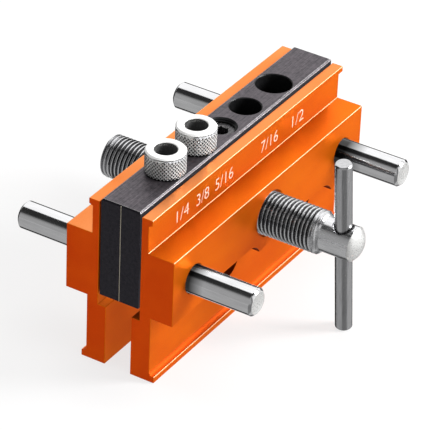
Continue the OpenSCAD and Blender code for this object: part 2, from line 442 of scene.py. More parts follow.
class Shader:
    """A material's nodes, with the few steps that the finishes share."""

    def __init__(self, name: str) -> None:
        """Makes the material with its surface shader.

        Args:
            name: the material's name.
        """
        self.material = bpy.data.materials.new(name)
        self.material.use_nodes = True
        self.tree = self.material.node_tree
        self.surface = next(n for n in self.tree.nodes if n.type == "BSDF_PRINCIPLED")
        self.coordinates = self.node("ShaderNodeTexCoord").outputs["Object"]

    def node(self, kind: str, **settings: object) -> bpy.types.Node:
        """Adds a node.

        Args:
            kind: the node's type.
            settings: properties set on it.

        Returns:
            The new node.
        """
        node = self.tree.nodes.new(kind)
        for key, value in settings.items():
            setattr(node, key, value)
        return node

    def link(self, source: Socket, target: Socket) -> None:
        """Joins an output to an input."""
        self.tree.links.new(source, target)

    def set(self, **values: object) -> None:
        """Sets plain values on the surface shader, underscores standing for spaces."""
        for key, value in values.items():
            self.surface.inputs[key.replace("_", " ")].default_value = value

    def drive(self, name: str, source: Socket) -> None:
        """Feeds one of the surface shader's inputs."""
        self.link(source, self.surface.inputs[name])

    def mapped(self, scale: Point, shift: Point = (0, 0, 0)) -> Socket:
        """Gives the object coordinates scaled along each axis, then shifted."""
        node = self.node("ShaderNodeMapping")
        node.inputs["Scale"].default_value = scale
        node.inputs["Location"].default_value = shift
        self.link(self.coordinates, node.inputs["Vector"])
        return node.outputs["Vector"]

    def noise(self, scale: Point, detail: float = 2.0) -> Socket:
        """Gives fractal noise over the object coordinates.

        Args:
            scale: cells per metre along each axis.
            detail: octaves.

        Returns:
            The noise, near one half on average.
        """
        node = self.node("ShaderNodeTexNoise")
        for name, value in (("Scale", 1.0), ("Detail", detail), ("Roughness", NOISE_ROUGHNESS)):
            node.inputs[name].default_value = value
        self.link(self.mapped(scale), node.inputs["Vector"])
        return node.outputs["Fac"]

    def span(self, source: Socket, low: float, high: float,
             start: float = 0.3, end: float = 0.7) -> Socket:
        """Maps a source from start..end to low..high.

        Args:
            source: the value to map.
            low: result at start.
            high: result at end.
            start: lowest source value.
            end: highest source value.

        Returns:
            The mapped value.
        """
        node = self.node("ShaderNodeMapRange")
        for name, value in (("From Min", start), ("From Max", end), ("To Min", low), ("To Max", high)):
            node.inputs[name].default_value = value
        self.link(source, node.inputs["Value"])
        return node.outputs["Result"]

    def blend(self, share: Socket, first: Colour | Socket, second: Colour | Socket) -> Socket:
        """Blends two colours by a share.

        Args:
            share: 0 for the first colour, 1 for the second.
            first: the first colour, linear, or a socket that gives it.
            second: the second colour, likewise.

        Returns:
            The blended colour.
        """
        node = self.node("ShaderNodeMix", data_type="RGBA")
        colours = [s for s in node.inputs if s.type == "RGBA"]
        for socket, colour in zip(colours, (first, second)):
            if isinstance(colour, bpy.types.NodeSocket):
                self.link(colour, socket)
            else:
                socket.default_value = (*colour, 1)
        self.link(share, node.inputs["Factor"])
        return next(s for s in node.outputs if s.type == "RGBA")

    def along(self, axis: str) -> Socket:
        """Gives the place along one axis, X, Y or Z, in metres."""
        node = self.node("ShaderNodeSeparateXYZ")
        self.link(self.coordinates, node.inputs["Vector"])
        return node.outputs[axis]

    def distance_from_screw(self, height: float) -> Socket:
        """Gives the distance in metres from a line along Y at some height."""
        length = self.node("ShaderNodeVectorMath", operation="LENGTH")
        self.link(self.mapped((1, 0, 1), (0, 0, -height)), length.inputs[0])
        return length.outputs["Value"]

    def math(self, operation: str, *values: Socket | float) -> Socket:
        """Gives the result of a maths node."""
        return maths(self.tree, operation, *values)

    def add(self, first: Socket, second: Socket, weight: float) -> Socket:
        """Gives first plus weight times second."""
        return self.math("MULTIPLY_ADD", second, weight, first)

    def bump(self, height: Socket, depth: float) -> None:
        """Bumps the surface.

        Args:
            height: the height map.
            depth: depth in metres of a height of one.
        """
        node = self.node("ShaderNodeBump")
        node.inputs["Strength"].default_value = 1.0
        node.inputs["Distance"].default_value = depth
        self.link(height, node.inputs["Height"])
        self.drive("Normal", node.outputs["Normal"])


class Finish:
    """What every finish offers."""

    name: str

    def material(self) -> bpy.types.Material:
        """Makes the finish and returns its material."""
        raise NotImplementedError


@dataclass(frozen=True)
class Anodised(Finish):
    """Satin anodised aluminium, fine blasted before it was dyed."""

    name: str = "orange_anodised"
    light: Colour = (1.0, 0.208, 0.006)
    dark: Colour = (0.88, 0.134, 0.005)
    metallic: float = 0.72
    roughness: tuple[float, float] = (0.30, 0.42)
    grain: float = 0.024 * MM
    glancing: Colour = (1.0, 0.36, 0.06)
    broad: Point = (30, 60, 60)
    fine: Point = (3200, 3200, 3200)
    drawn: Point = (60, 2600, 2600)

    def material(self) -> bpy.types.Material:
        """Makes the finish and returns its material."""
        shader = Shader(self.name)
        broad, fine, drawn = (shader.noise(scale) for scale in (self.broad, self.fine, self.drawn))
        shader.drive("Base Color", shader.blend(
            shader.span(shader.add(broad, fine, 0.6), 0, 1, 0.56, 1.06), self.dark, self.light))
        shader.drive("Roughness", shader.span(shader.add(fine, drawn, 0.5), *self.roughness, 0.5, 1.0))
        shader.bump(shader.add(fine, drawn, 0.4), self.grain)
        shader.set(Metallic=self.metallic, Specular_Tint=(*self.glancing, 1))
        return shader.material


@dataclass(frozen=True)
class BlackOxide(Finish):
    """Black oxide on ground steel, with the grain of the grinding along X."""

    name: str = "black_oxide"
    light: Colour = (0.150, 0.130, 0.145)
    dark: Colour = (0.040, 0.036, 0.042)
    metallic: float = 0.8
    roughness: tuple[float, float] = (0.36, 0.50)
    grain: float = 0.006 * MM
    ground: Point = (120, 4200, 4200)
    mottle: Point = (900, 900, 900)

    def material(self) -> bpy.types.Material:
        """Makes the finish and returns its material."""
        shader = Shader(self.name)
        ground = shader.noise(self.ground, detail=3)
        mottle = shader.noise(self.mottle, detail=4)
        shader.drive("Base Color", shader.blend(
            shader.span(shader.add(ground, mottle, 0.8), 0, 1, 0.65, 1.15), self.dark, self.light))
        shader.drive("Roughness", shader.span(mottle, *self.roughness))
        shader.bump(shader.add(ground, mottle, 0.5), self.grain)
        shader.set(Metallic=self.metallic)
        return shader.material


@dataclass(frozen=True)
class ChromeRodWithPaintedShade(Finish):
    """Ground chrome, with dark shade and reflection painted near the front jaw's mouth."""

    name: str
    # Span along Y of the painted shade and reflection by the front jaw's mouth.
    rod_shade_from: float
    rod_shade_to: float
    light: Colour = (0.80, 0.80, 0.81)
    dark: Colour = (0.68, 0.68, 0.69)
    rod_shade: Colour = (0.055, 0.054, 0.053)
    roughness: tuple[float, float] = (0.08, 0.14)
    rod_shade_end: float = -18.0 * MM
    rod_shade_fade: float = 3.0 * MM
    marks: Point = (500, 90, 500)
    grain: float = 0.001 * MM

    def material(self) -> bpy.types.Material:
        """Makes the finish and returns its material."""
        shader = Shader(self.name)
        marks = shader.noise(self.marks, detail=3)
        along = shader.along("Y")
        # Dark painted shade and reflection on the rod near the front jaw's mouth.
        rod_shade = shader.math("MULTIPLY", shader.span(along, 0, 1, self.rod_shade_from, self.rod_shade_to),
                           shader.span(along, 1, 0, self.rod_shade_end, self.rod_shade_end + self.rod_shade_fade))
        metal = shader.blend(shader.span(marks, 0, 1), self.dark, self.light)
        shader.drive("Base Color", shader.blend(rod_shade, metal, self.rod_shade))
        shader.drive("Roughness", shader.span(marks, *self.roughness))
        shader.bump(marks, self.grain)
        shader.set(Metallic=1.0)
        return shader.material


@dataclass(frozen=True)
class ThreadedSteel(Finish):
    """Plated steel, with shade painted dark at the root of its thread, darker in front than behind."""

    name: str
    axis_height: float
    crest: float
    light: Colour = (0.84, 0.84, 0.85)
    dark: Colour = (0.66, 0.66, 0.67)
    root: Colour = (0.16, 0.16, 0.165)
    # Painted shade at the thread's root, darker in front than behind.
    rear_root_shade: Colour = (0.38, 0.38, 0.39)
    root_shade_depth: tuple[float, float] = (0.66 * MM, 0.12 * MM)
    thread_end: float = -39.2 * MM
    thread_fade: float = 0.5 * MM
    middle: float = 1.0 * MM
    roughness: tuple[float, float] = (0.18, 0.30)
    marks: Point = (1500, 150, 1500)
    grain: float = 0.002 * MM

    def material(self) -> bpy.types.Material:
        """Makes the finish and returns its material."""
        shader = Shader(self.name)
        marks = shader.noise(self.marks, detail=3)
        radius = shader.distance_from_screw(self.axis_height)
        # Painted shade: root darkness from the crest inwards, lifted past the thread's end.
        crest = shader.span(radius, 0, 1, *(self.crest - depth for depth in self.root_shade_depth))
        plain = shader.span(shader.along("Y"), 1, 0, self.thread_end - self.thread_fade, self.thread_end)
        metal = shader.blend(shader.span(marks, 0, 1), self.dark, self.light)
        behind = shader.span(shader.along("Y"), 0, 1, -self.middle, self.middle)
        root = shader.blend(behind, self.root, self.rear_root_shade)
        shader.drive("Base Color", shader.blend(shader.math("MAXIMUM", crest, plain), root, metal))
        shader.drive("Roughness", shader.span(marks, *self.roughness))
        shader.bump(marks, self.grain)
        shader.set(Metallic=1.0)
        return shader.material


@dataclass(frozen=True)
class Steel(Finish):
    """Bright steel, with fine marks that run along or round the piece."""

    name: str
    light: Colour = (0.78, 0.78, 0.79)
    dark: Colour = (0.62, 0.62, 0.63)
    roughness: tuple[float, float] = (0.12, 0.22)
    marks: Point = (900, 900, 900)
    grain: float = 0.002 * MM
    cloud: Point = (120, 120, 120)

    def material(self) -> bpy.types.Material:
        """Makes the finish and returns its material."""
        shader = Shader(self.name)
        marks = shader.noise(self.marks, detail=3)
        cloud = shader.noise(self.cloud)
        shader.drive("Base Color", shader.blend(shader.span(marks, 0, 1), self.dark, self.light))
        shader.drive("Roughness", shader.span(shader.add(marks, cloud, 0.6), *self.roughness, 0.5, 1.1))
        shader.bump(marks, self.grain)
        shader.set(Metallic=1.0)
        return shader.material


@dataclass(frozen=True)
class Ink(Finish):
    """A thin matt layer: printed ink, or bare steel dulled in a scribed line."""

    name: str
    light: Colour
    dark: Colour
    metallic: float = 0.0
    roughness: tuple[float, float] = (0.45, 0.65)
    speckle: Point = (2400, 2400, 2400)
    grain: float = 0.003 * MM

    def material(self) -> bpy.types.Material:
        """Makes the finish and returns its material."""
        shader = Shader(self.name)
        speckle = shader.noise(self.speckle)
        shader.drive("Base Color", shader.blend(shader.span(speckle, 0, 1), self.dark, self.light))
        shader.drive("Roughness", shader.span(speckle, *self.roughness))
        shader.bump(speckle, self.grain)
        shader.set(Metallic=self.metallic)
        return shader.material


@dataclass(frozen=True)
class Finishes:
    """Every finish of the jig."""

    screw: Finish
    orange: Finish = Anodised()
    # Paler edge rounds of the jaws: partly worn anodising, partly a painted highlight along the edges.
    orange_edge_wear_and_highlight: Finish = Anodised("orange_edge_wear_and_highlight", (1.0, 0.70, 0.44), (0.94, 0.50, 0.25), 0.3,
                                   (0.30, 0.40))
    # Paler orange for the topmost faces: painted light where the tops face the lamps.
    orange_painted_light_top: Finish = Anodised("orange_painted_light_top", (0.94, 0.34, 0.12), (0.86, 0.25, 0.07))
    # Dark orange for the window walls: painted shade inside the windows.
    orange_painted_shade: Finish = Anodised("orange_painted_shade", (0.40, 0.050, 0.002), (0.26, 0.028, 0.001))
    # Darker, redder orange for the -X ends only: painted shade on the ends that face away from the lamps.
    orange_painted_shade_end: Finish = Anodised("orange_painted_shade_end", (0.98, 0.108, 0.004), (0.86, 0.070, 0.003))
    # Darker, rougher orange for the foot's cove: painted shade in the cove, with a rougher surface that
    # spreads its highlight.
    orange_painted_shade_cove: Finish = Anodised("orange_painted_shade_cove", (0.80, 0.110, 0.004), (0.66, 0.076, 0.003), 0.25,
                                   (0.55, 0.65))
    oxide: Finish = BlackOxide()
    # Darker oxide for the block's sides, ends and end chamfers: painted shade.
    oxide_painted_shade: Finish = BlackOxide("oxide_painted_shade", (0.044, 0.040, 0.050), (0.014, 0.013, 0.018))
    # Pale grey edge rounds of the black steel: partly rubbed oxide, partly a painted highlight.
    oxide_edge_wear_and_highlight: Finish = BlackOxide("rubbed_edge_and_highlight", (0.46, 0.45, 0.45), (0.20, 0.195, 0.20), 0.5,
                                    (0.26, 0.36))
    # Near-black walls for the block's holes: painted shade inside the holes.
    bore: Finish = BlackOxide("hole_wall_painted_shade", (0.020, 0.020, 0.021), (0.008, 0.008, 0.009), 0.5,
                              (0.35, 0.5))
    black_screw: Finish = BlackOxide("black_screw", (0.15, 0.145, 0.15), (0.05, 0.048, 0.052), 0.8,
                                     (0.22, 0.34))
    # Each rod with its own span of painted shade by the front jaw.
    near_rod: Finish = ChromeRodWithPaintedShade("near_rod", -27.0 * MM, -21.6 * MM)
    far_rod: Finish = ChromeRodWithPaintedShade("far_rod", -31.0 * MM, -23.5 * MM)
    bar: Finish = Steel("satin_bar", (0.60, 0.60, 0.61), (0.50, 0.50, 0.51), (0.20, 0.28),
                        (1500, 1500, 40))
    bushing: Finish = Steel("turned_steel", (0.86, 0.86, 0.85), (0.74, 0.74, 0.73), (0.16, 0.26),
                            (1200, 1200, 300))
    # Dark steel for the thread flanks that face the middle: painted shade.
    flank: Finish = Steel("flank_painted_shade", (0.14, 0.14, 0.145), (0.06, 0.06, 0.062), (0.25, 0.36),
                          (1500, 150, 1500))
    # Dark steel in the knurl's cells: painted shade in the hollows.
    knurl_cell_shade: Finish = Steel("knurl_cell_shade", (0.16, 0.16, 0.165), (0.05, 0.05, 0.052), (0.22, 0.34),
                               (1500, 1500, 1500))
    # Pale matt lands of the knurl: painted highlight on the ridges.
    knurl_land: Finish = Ink("knurl_land", (0.86, 0.86, 0.85), (0.66, 0.66, 0.65), 0.35, (0.25, 0.40))
    turned_face: Finish = Ink("turned_face", (0.66, 0.66, 0.65), (0.58, 0.58, 0.57), 0.6, (0.26, 0.32))
    # Near-white matt top of the collars: painted highlight in place of the polished top's reflection.
    turned_top_highlight: Finish = Ink("turned_top_highlight", (0.93, 0.93, 0.92), (0.84, 0.84, 0.83), 0.1, (0.50, 0.60))
    # Dark grey matt wall for the bushings' bores: painted shade inside the bore.
    drill_bore_shade: Finish = Ink("drill_bore_shade", (0.17, 0.17, 0.17), (0.10, 0.10, 0.10), 0.2, (0.40, 0.50))
    scribe: Finish = Ink("scribed_line", (0.66, 0.60, 0.47), (0.46, 0.41, 0.31))
    ink: Finish = Ink("white_ink", (0.80, 0.62, 0.50), (0.66, 0.48, 0.36))


@cache
def material_of(finish: Finish) -> bpy.types.Material:
    """Gives a finish's material, which is made on its first use."""
    return finish.material()


def dress(obj: Obj, *finishes: Finish) -> None:
    """Puts finishes in an object's slots, the first on every face.

    Args:
        obj: the object to dress.
        finishes: one finish for each slot.
    """
    obj.data.materials.clear()
    for finish in finishes:
        obj.data.materials.append(material_of(finish))


def dress_faces(obj: Obj, index: int, test: Callable[[bpy.types.MeshPolygon], bool]) -> None:
    """Gives the faces that pass a test another slot's material.

    Args:
        obj: the dressed object.
        index: the slot.
        test: says whether a face takes it.
    """
    for polygon in obj.data.polygons:
        if test(polygon):
            polygon.material_index = index


def settle(obj: Obj, body: str, slot: str, *nodes: str) -> None:
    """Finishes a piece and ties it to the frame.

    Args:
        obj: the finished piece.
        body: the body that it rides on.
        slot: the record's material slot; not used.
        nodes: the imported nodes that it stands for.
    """
    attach(obj, body)
    if nodes:
        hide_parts(*nodes)
    log.info("%s: %d faces on %s", obj.name, len(obj.data.polygons), body)


# Sub-assemblies


def along_screw(x: float, height: float) -> Matrix:
    """Turns +Z to -Y and moves the origin to an axis of the rods or the screw.

    Args:
        x: place of the axis along the block.
        height: height of the axis.

    Returns:
        The matrix.
    """
    return Matrix.Translation((x, 0, height)) @ Matrix.Rotation(math.pi / 2, 4, "X")


@dataclass
class Axes:
    """The axes that rods, screw and guide holes share, read from the frame."""

    rod_x: float = 0.0
    height: float = 0.0
    rod_radius: float = 0.0
    rod_reach: tuple[float, float] = (0.0, 0.0)
    screw_radius: float = 0.0
    bushing_x: tuple[float, float] = (0.0, 0.0)

    @classmethod
    def from_frame(cls) -> "Axes":
        """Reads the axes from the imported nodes.

        Returns:
            The axes.
        """
        low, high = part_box("guide_rod_far")
        middle = (low + high) / 2
        bushings = [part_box(node) for node in ("bushing_near", "bushing_far")]
        return cls(
            rod_x=middle.x, height=middle.z, rod_radius=(high.x - low.x) / 2,
            rod_reach=(-low.y, high.y), screw_radius=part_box("lead_screw")[1].x,
            bushing_x=tuple((a.x + b.x) / 2 for a, b in bushings),
        )


@dataclass
class GuideBlock:
    """The black block with five holes across its top and a line on each end."""

    axes: Axes
    finishes: Finishes
    chamfer: float = 0.5 * MM
    edge_round: float = 0.12 * MM
    inner_hole: tuple[float, float] = (15.6 * MM, 11.11 / 2 * MM)
    outer_hole: tuple[float, float] = (34.0 * MM, 12.7 / 2 * MM)
    hole_chamfer: float = 0.3 * MM
    keeper_radius: float = 5.02 * MM
    keeper_thread: float = 0.45 * MM
    keeper_pitch: float = 1.0 * MM
    bushing_radius: float = 6.05 * MM
    bushing_thread: float = 0.6 * MM
    bushing_pitch: float = 1.5 * MM
    bushing_depth: float = 19.7 * MM
    clear_radius: float = 5.1 * MM
    rod_gap: float = 0.02 * MM
    screw_gap: float = 0.06 * MM
    set_screw_radius: float = 2.52 * MM
    scribe_width: float = 0.4 * MM
    scribe_depth: float = 0.2 * MM
    mouth_tip: float = 0.3
    overrun: float = 1.0 * MM

    def build(self) -> None:
        """Builds the block and ties it to its node."""
        low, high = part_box("guide_block")
        block = add_box("guide_block_body", low, high)
        with editing(block):
            pick(block, "EDGE", lambda e: all(near(v.co.z, high.z) for v in e.verts))
            bpy.ops.mesh.bevel(offset=self.chamfer, segments=1, affect="EDGES")
        dress(block, self.finishes.oxide, self.finishes.scribe, self.finishes.bore,
              self.finishes.oxide_edge_wear_and_highlight, self.finishes.oxide_painted_shade)
        # The block's edge rounds take the pale edge finish: partly wear, partly a painted highlight.
        soften(block, self.edge_round, slot=3)
        for cutter in self.cutters(low, high):
            combine(block, cutter, "DIFFERENCE")
        finish_surface(block)
        self.dress_places(block, high)
        settle(block, "block", "black_steel", "guide_block")

    def cutters(self, low: Vector, high: Vector) -> Iterator[Obj]:
        """Makes the cutter of each hole and line in turn.

        Args:
            low: the block's lowest corner.
            high: the block's highest corner.

        Yields:
            The cutters.
        """
        top, over = high.z, self.overrun
        for x, radius in (self.inner_hole, self.outer_hole):
            yield self.hole(x, radius, low.z - over, top)
        for x in self.axes.bushing_x:
            seat = top - self.bushing_depth
            yield self.hole(x, self.clear_radius, low.z - over, seat + over, flush=True)
            yield self.threaded(x, self.bushing_radius, self.bushing_thread,
                                self.bushing_pitch, seat, top)
        yield self.threaded(0, self.keeper_radius, self.keeper_thread, self.keeper_pitch,
                            self.axes.height, top)
        reach = high.y + over
        for x, radius in ((-self.axes.rod_x, self.axes.rod_radius + self.rod_gap),
                          (0, self.axes.screw_radius + self.screw_gap),
                          (self.axes.rod_x, self.axes.rod_radius + self.rod_gap)):
            bore = add_turned("bore_cutter", [(-reach, radius), (reach, radius)])
            yield place(bore, along_screw(x, self.axes.height))
        for x in (-self.axes.rod_x, self.axes.rod_x):
            yield self.hole(x, self.set_screw_radius, low.z - over, self.axes.height, flush=True)
        for x in (low.x, high.x):
            yield add_box("scribe_cutter",
                          (x - self.scribe_depth, -self.scribe_width / 2, low.z - over),
                          (x + self.scribe_depth, self.scribe_width / 2, top + over))

    def hole(self, x: float, radius: float, bottom: float, top: float, flush: bool = False) -> Obj:
        """Makes the cutter of a plain hole.

        Args:
            x: place along the block.
            radius: radius of the hole.
            bottom: lowest height of the cutter.
            top: height of the face that the hole opens.
            flush: leaves out the chamfer at the mouth.

        Returns:
            The cutter.
        """
        wide = radius + self.hole_chamfer
        steps = [(bottom, radius), (top, radius)] if flush else [
            (bottom, radius), (top - self.hole_chamfer, radius),
            (top + self.overrun, wide + self.overrun)]
        return place(add_turned("hole_cutter", steps), Matrix.Translation((x, 0, 0)))

    def threaded(self, x: float, radius: float, depth: float, pitch: float,
                 bottom: float, top: float) -> Obj:
        """Makes the cutter of a threaded hole, chamfered at its mouth.

        Args:
            x: place along the block.
            radius: radius inside the thread.
            depth: depth of the thread.
            pitch: pitch of the thread.
            bottom: lowest height of the hole.
            top: height of the face that the hole opens.

        Returns:
            The cutter.
        """
        cutter = add_thread("thread_cutter", radius + depth, radius, pitch,
                            (bottom, top + self.overrun), segments=CUTTER_ROUND)
        wide, tip, past = radius + depth, radius * self.mouth_tip, self.overrun * 2
        slope = (wide + self.hole_chamfer - tip) / wide
        mouth = add_turned("mouth_cutter", [
            (top - wide, tip), (top + past, wide + self.hole_chamfer + past * slope)])
        combine(cutter, mouth, "UNION")
        clean(cutter)
        return place(cutter, Matrix.Translation((x, 0, 0)))

    def dress_places(self, block: Obj, high: Vector) -> None:
        """Paints shade on the sides, ends and walls of the holes, and gives the scribed lines their own
        finish.

        Args:
            block: the finished block.
            high: its highest corner.
        """
        # Sides, ends and end chamfers take painted shade.
        dress_faces(block, 4, lambda p: abs(p.normal.z) < UPRIGHT
                    and (near(abs(p.center.x), high.x) or abs(p.center.y) > high.y - self.edge_round))
        dress_faces(block, 4, lambda p: abs(p.normal.x) > LEANING and p.normal.z < FACING
                    and abs(p.center.x) > high.x - self.chamfer - self.edge_round)
        groove = self.scribe_width / 2 + TOLERANCE
        floor = high.x - self.scribe_depth
        dress_faces(block, 1, lambda p: near(abs(p.center.x), floor) and abs(p.center.y) < groove
                    and abs(p.normal.x) > FACING)
        # The walls of the holes take painted shade.
        holes = (self.inner_hole, self.outer_hole, (0, self.keeper_radius + self.keeper_thread))
        dress_faces(block, 2, lambda p: p.center.z < high.z - TOLERANCE and any(
            math.hypot(p.center.x - x, p.center.y) < radius + self.hole_chamfer for x, radius in holes))


@dataclass
class Jaw:
    """A stepped jaw: lip, web, carrier with three bores, two windows and a foot."""

    axes: Axes
    finishes: Finishes
    upper_web: float = 2.7 * MM
    inner_y: float = 8.1 * MM
    lip_out: float = 1.4 * MM
    lip_height: float = 2.0 * MM
    lip_slope: float = 0.6 * MM
    carrier_top: float = 22.7 * MM
    carrier_bottom: float = -2.0 * MM
    relief: float = -4.2 * MM
    lower_web_y: float = 12.4 * MM
    foot_out: float = 1.85 * MM
    foot_edge: float = 2.3 * MM
    foot_cove: float = 1.45 * MM
    edge_round: float = 0.18 * MM
    window: tuple[float, float] = (37.0 * MM, 14.5 * MM)
    window_place: tuple[float, float] = (23.75 * MM, -5.05 * MM)
    window_margin: float = 0.03 * MM
    level: float = 0.99
    cove_lean: tuple[float, float] = (0.1, 0.995)
    rod_gap: float = 0.05 * MM
    rod_mouth: float = 0.4 * MM
    screw_gap: float = 0.06 * MM
    screw_mouth: float = 0.8 * MM
    overrun: float = 1.0 * MM

    def build(self) -> None:
        """Builds both jaws and ties them to their nodes."""
        low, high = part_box("front_jaw")
        front = self.outline(low, high)
        dress(front, self.finishes.orange, self.finishes.orange_edge_wear_and_highlight, self.finishes.orange_painted_light_top,
              self.finishes.orange_painted_shade, self.finishes.orange_painted_shade_end, self.finishes.orange_painted_shade_cove)
        # The rounds take the paler edge, partly wear and partly a painted highlight; rounds that don't face
        # both forward and up go back to the plain orange.
        soften(front, self.edge_round, segments=3, slot=1)
        dress_faces(front, 0, lambda p: abs(p.normal.x) > LEANING
                    or p.normal.y > -UPRIGHT or p.normal.z < UPRIGHT)
        for cutter in self.cutters(low):
            combine(front, cutter, "DIFFERENCE")
        clean(front)
        rear = place(copy_of(front, "rear_jaw_body"), Matrix.Diagonal((1, -1, 1, 1)))
        for jaw, body, node in ((front, "front", "front_jaw"), (rear, "rear", "rear_jaw")):
            finish_surface(jaw)
            jaw.visible_glossy = False
            # Topmost level faces take the paler orange: painted light on the tops.
            painted_light_from = high.z if jaw is front else self.carrier_top
            dress_faces(jaw, 2, lambda p: p.normal.z > self.level and p.center.z > painted_light_from - TOLERANCE)
            # The window walls take painted shade.
            dress_faces(jaw, 3, lambda p: abs(p.normal.y) < UPRIGHT and self.on_window_wall(p.center))
            # The -X end faces take painted shade.
            dress_faces(jaw, 4, lambda p: p.center.x < low.x + TOLERANCE)
            # The foot's cove takes the darker orange: painted shade.
            dress_faces(jaw, 5, lambda p: p.center.z < self.relief
                        and self.cove_lean[0] < p.normal.z < self.cove_lean[1]
                        and self.lower_web_y < abs(p.center.y) < self.lower_web_y + self.foot_cove)
            settle(jaw, body, "orange_aluminium", node)

    def on_window_wall(self, point: Vector) -> bool:
        """Says whether a point lies on the wall of a window."""
        length, height = self.window
        x, z = self.window_place
        past = max(0.0, abs(abs(point.x) - x) - (length - height) / 2)
        return abs(math.hypot(past, point.z - z) - height / 2) < self.window_margin

    def outline(self, low: Vector, high: Vector) -> Obj:
        """Builds the front jaw's section by extruding a bar up and out.

        Args:
            low: the jaw's lowest corner.
            high: the jaw's highest corner.

        Returns:
            The jaw, without its bores and windows.
        """
        inner, web, lower = -self.inner_y, -self.inner_y - self.upper_web, -self.lower_web_y
        lip_under = high.z - self.lip_height
        foot_top = low.z + self.foot_edge
        jaw = add_box("front_jaw_body", (low.x, lower, low.z), (high.x, high.y, self.relief))
        with editing(jaw):
            cut((0, inner, 0), (0, 1, 0))
            pick(jaw, "FACE", lambda f: f.normal.z > FACING and f.calc_center_median().y < inner)
            extrude((0, 0, self.carrier_bottom - self.relief))
            extrude((0, 0, self.carrier_top - self.carrier_bottom))
            cut((0, web, 0), (0, 1, 0))
            pick(jaw, "FACE", lambda f: f.normal.z > FACING and f.calc_center_median().y > web
                 and near(f.calc_center_median().z, self.carrier_top))
            extrude((0, 0, lip_under - self.carrier_top))
            extrude((0, 0, self.lip_height))
            pick(jaw, "FACE", lambda f: f.normal.y < -FACING
                 and self.carrier_bottom < f.calc_center_median().z < self.carrier_top)
            extrude((0, low.y - lower, 0))
            pick(jaw, "FACE", lambda f: f.normal.y < -FACING and f.calc_center_median().z > lip_under)
            extrude((0, -self.lip_out, 0))
            pick(jaw, "VERT", lambda v: near(v.co.y, web) and near(v.co.z, lip_under))
            bpy.ops.transform.translate(value=(0, 0, -self.lip_slope))
            cut((0, 0, foot_top), (0, 0, 1))
            pick(jaw, "FACE", lambda f: f.normal.y < -FACING and f.calc_center_median().z < foot_top)
            extrude((0, -self.foot_out, 0))
            bpy.ops.mesh.select_all(action="SELECT")
            bpy.ops.mesh.dissolve_limited(angle_limit=FLAT_ANGLE)
            pick(jaw, "EDGE", lambda e: all(near(v.co.y, lower) and near(v.co.z, foot_top) for v in e.verts))
            bpy.ops.mesh.bevel(offset=self.foot_cove, segments=6, profile=0.5, affect="EDGES",
                               clamp_overlap=False)
        clean(jaw)
        return jaw

    def cutters(self, low: Vector) -> Iterator[Obj]:
        """Makes the cutter of each window and bore in turn.

        Args:
            low: the front jaw's lowest corner.

        Yields:
            The cutters.
        """
        for side in (-1, 1):
            yield self.window_cutter(side * self.window_place[0], -low.y)
        rod_radius = self.axes.rod_radius + self.rod_gap
        for x, radius, mouth in ((-self.axes.rod_x, rod_radius, self.rod_mouth),
                                 (0, self.axes.screw_radius + self.screw_gap, self.screw_mouth),
                                 (self.axes.rod_x, rod_radius, self.rod_mouth)):
            face = -low.y
            steps = [(0, radius), (face - mouth, radius), (face, radius + mouth),
                     (face + self.overrun, radius + mouth + self.overrun)]
            yield place(add_turned("bore_cutter", steps), along_screw(x, self.axes.height))

    def window_cutter(self, x: float, face: float) -> Obj:
        """Makes the cutter of a round ended window.

        Args:
            x: middle of the window along the jaw.
            face: distance of the carrier's face from the centre plane.

        Returns:
            The cutter.
        """
        length, height = self.window
        half_run = (length - height) / 2
        cutter = add_turned("window_cutter", [(0, height / 2), (face + self.overrun, height / 2)])
        place(cutter, Matrix.Rotation(math.pi / ROUND, 4, "Z"))
        with editing(cutter):
            for side in (-1, 1):
                pick(cutter, "VERT", lambda v: v.co.x * side > 0)
                bpy.ops.transform.translate(value=(side * half_run, 0, 0))
        return place(cutter, along_screw(x, self.window_place[1]))


@dataclass
class SizeMarks:
    """The drill sizes printed in white on the web of the front jaw."""

    finishes: Finishes
    face_y: float = -10.8 * MM
    middle_z: float = 27.8 * MM
    height: float = 4.4 * MM
    thickness: float = 0.03 * MM
    thinning: float = -0.010
    marks: tuple[tuple[str, float, float], ...] = (
        ("1/4", -39.7 * MM, 7.4 * MM),
        ("3/8", -27.6 * MM, 7.5 * MM),
        ("5/16", -14.4 * MM, 11.1 * MM),
        ("7/16", 14.2 * MM, 10.9 * MM),
        ("1/2", 32.8 * MM, 7.5 * MM),
    )

    def build(self) -> None:
        """Builds one piece for each mark."""
        for text, x, width in self.marks:
            self.mark(text, x, width)

    def mark(self, text: str, x: float, width: float) -> None:
        """Prints one mark.

        Args:
            text: the drill size.
            x: middle of the mark along the jaw.
            width: width over the print.
        """
        deselect()
        bpy.ops.object.text_add()
        mark = bpy.context.active_object
        mark.data.body = text
        mark.data.extrude = 0.5
        mark.data.offset = self.thinning
        mark.data.resolution_u = 4
        bpy.ops.object.convert(target="MESH")
        mark = named("size_mark_" + text.replace("/", "_"))
        points = [v.co for v in mark.data.vertices]
        low = Vector(min(p[i] for p in points) for i in range(3))
        high = Vector(max(p[i] for p in points) for i in range(3))
        scale = Matrix.Diagonal((width / (high.x - low.x), self.height / (high.y - low.y),
                                 self.thickness, 1))
        matrix = (Matrix.Translation((x, self.face_y, self.middle_z))
                  @ Matrix.Rotation(math.pi / 2, 4, "X") @ scale @ Matrix.Translation(-(low + high) / 2))
        place(mark, matrix)
        clean(mark)
        dress(mark, self.finishes.ink)
        settle(mark, "front", "orange_aluminium")


